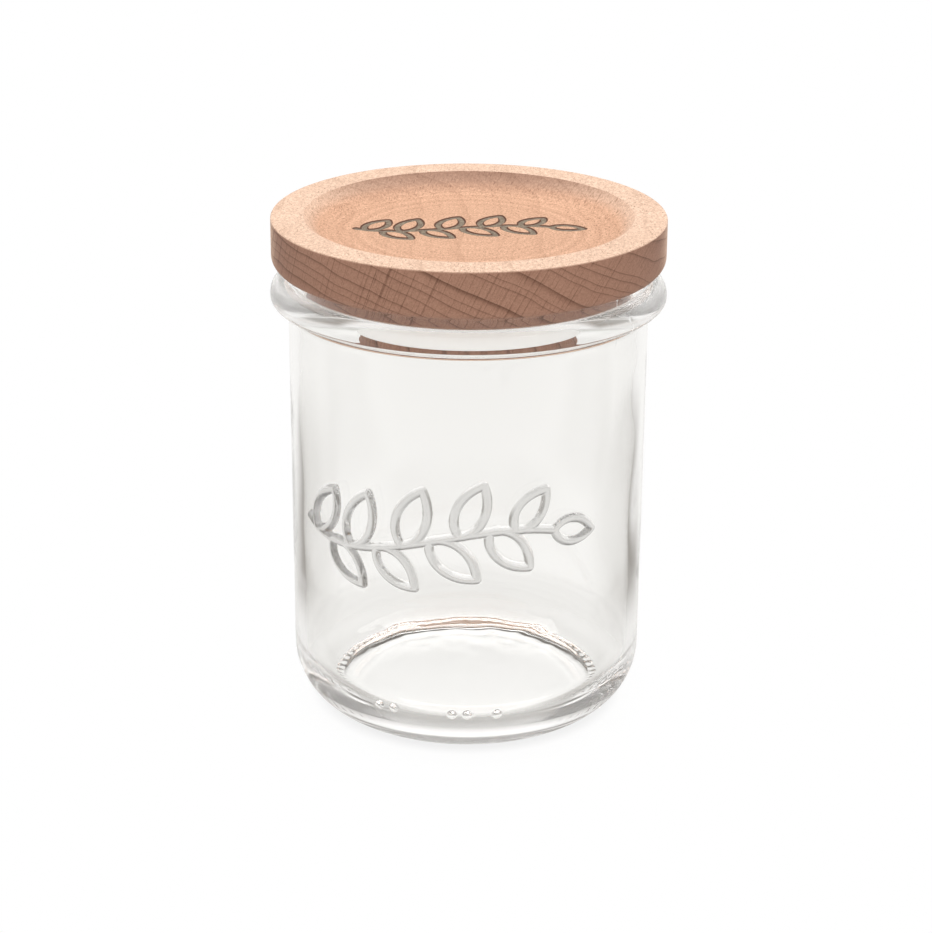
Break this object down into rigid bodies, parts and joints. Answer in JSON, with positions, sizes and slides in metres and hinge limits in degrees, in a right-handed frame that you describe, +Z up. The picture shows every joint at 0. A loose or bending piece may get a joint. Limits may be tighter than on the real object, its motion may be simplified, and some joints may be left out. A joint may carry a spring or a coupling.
{
  "type": "glass storage jar with wooden lid",
  "caption": "Round clear glass storage jar with a heavy rim bead and a turned beech plug lid, sealed by a soft silicone ring, with a stacking dish on top.",
  "frame": {"origin": "centre of the ring that the jar stands on, at the bottom of the whole part", "axes": "+Z up along the axis that the jar and the lid are turned about; X and Y lie in the standing plane"},
  "size_m": [0.113, 0.113, 0.1463],
  "materials": {
    "clear_glass": "clear, polished, slightly wavy from the mould",
    "beech": "bare turned beech, fine sanded",
    "clear_silicone": "translucent, satin"
  },
  "bodies": {
    "jar": {"glass_jar": "clear_glass"},
    "seal": {"silicone_seal": "clear_silicone"},
    "lid": {"wooden_lid": "beech"}
  },
  "joints": [
    {"name": "lid_lift", "type": "slide", "parent": "jar", "child": "seal", "axis": [0, 0, 1], "range_m": [0, 0.12]},
    {"name": "lid_turn", "type": "hinge", "parent": "seal", "child": "lid", "pos_m": [0, 0, 0.1325], "axis": [0, 0, 1], "continuous": true}
  ]
}
